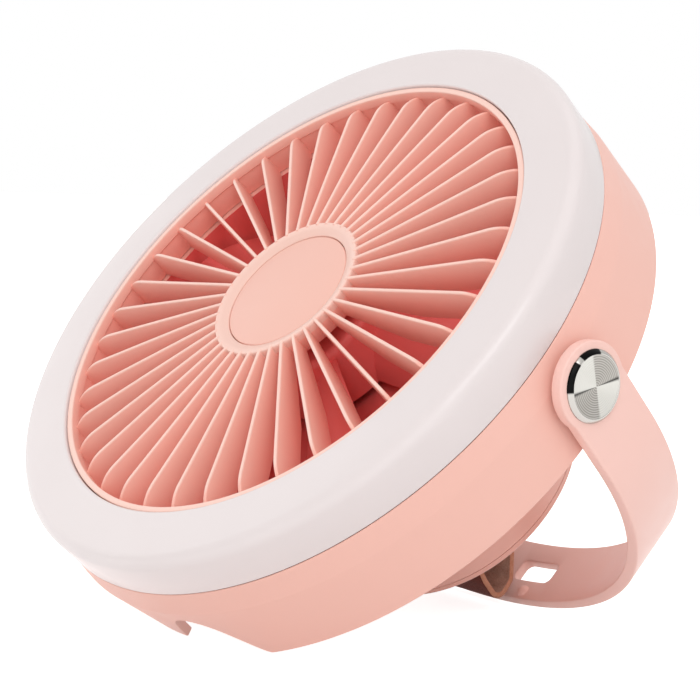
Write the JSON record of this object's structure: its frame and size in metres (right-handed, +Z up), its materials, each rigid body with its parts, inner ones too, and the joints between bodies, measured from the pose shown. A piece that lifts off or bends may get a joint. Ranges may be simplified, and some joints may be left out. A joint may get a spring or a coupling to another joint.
{
  "type": "camping fan",
  "caption": "Portable battery fan with a ring light round its vaned grille, a swivelling bracket that serves as its stand and hanger, and a leather hang loop.",
  "frame": {"origin": "on the surface that the fan stands on, below the middle of its box, with the heel of the housing and the bracket's lower edge at z = 0", "axes": "+X along the bracket's pivot axis, +Z up; the grille faces forward (-Y) and up, with the head leaning back so that its face normal is 41.0 degrees above the horizontal"},
  "size_m": [0.1934, 0.1529, 0.1609],
  "materials": {
    "shell_pink": "satin moulded",
    "grille_pink": "satin moulded",
    "hub_disc_pink": "satin",
    "light_diffuser": "frosted milky",
    "impeller_coral": "satin moulded",
    "band_pink": "soft painted",
    "spun_steel": "concentric spun",
    "zinc_steel": "plated",
    "cast_cap": "satin moulded",
    "button_pink": "soft touch",
    "leather_brown": "smooth outside, suede inside",
    "nylon_black": "moulded",
    "nylon_white": "moulded",
    "circuit_board": "solder mask",
    "led_package": "phosphor",
    "lamp_lens": "clear light pipe",
    "cell_can": "wrapped can",
    "electrical_steel": "laminated",
    "winding_copper": "enamelled wire",
    "magnet_black": "bonded magnet",
    "bush_brass": "turned"
  },
  "bodies": {
    "head": {"front_housing": "shell_pink", "front_grille": "grille_pink", "hub_cap": "hub_disc_pink", "light_ring": "light_diffuser", "led_board": "circuit_board", "led_chips": "led_package", "rear_cover": "shell_pink", "boss_cap": "cast_cap", "main_board": "circuit_board", "tact_switches": "nylon_black", "usb_socket": "zinc_steel", "charge_lights": "lamp_lens", "battery_cells": "cell_can", "battery_holder": "nylon_black", "motor_base": "nylon_white", "stator_core": "electrical_steel", "stator_coils": "winding_copper", "motor_bearings": "zinc_steel", "motor_screws": "zinc_steel", "cover_screws": "zinc_steel", "board_screws": "zinc_steel", "hang_strap": "leather_brown", "strap_plate": "zinc_steel", "pivot_bushes": "bush_brass", "friction_washers": "nylon_black"},
    "fan_rotor": {"impeller": "impeller_coral", "rotor_can": "electrical_steel", "magnet_ring": "magnet_black", "motor_shaft": "zinc_steel"},
    "bracket": {"bracket": "band_pink", "right_knob": "spun_steel", "left_knob": "spun_steel", "right_pivot_screw": "zinc_steel", "left_pivot_screw": "zinc_steel"},
    "fan_button": {"fan_button": "button_pink"},
    "light_button": {"light_button": "button_pink"}
  },
  "joints": [
    {"name": "bracket_swing", "type": "hinge", "parent": "head", "child": "bracket", "pos_m": [0, 0.00101, 0.0772], "axis": [1, 0, 0], "continuous": true},
    {"name": "fan_spin", "type": "hinge", "parent": "head", "child": "fan_rotor", "pos_m": [0, -0.00314, 0.08081], "axis": [0, -0.7546, 0.6562], "continuous": true},
    {"name": "fan_button_press", "type": "slide", "parent": "head", "child": "fan_button", "axis": [0, -0.7546, 0.6562], "range_m": [0, 0.0007], "stiffness_N_per_m": 1200, "springref_m": -0.0005},
    {"name": "light_button_press", "type": "slide", "parent": "head", "child": "light_button", "axis": [0, -0.7546, 0.6562], "range_m": [0, 0.0007], "stiffness_N_per_m": 1200, "springref_m": -0.0005}
  ]
}
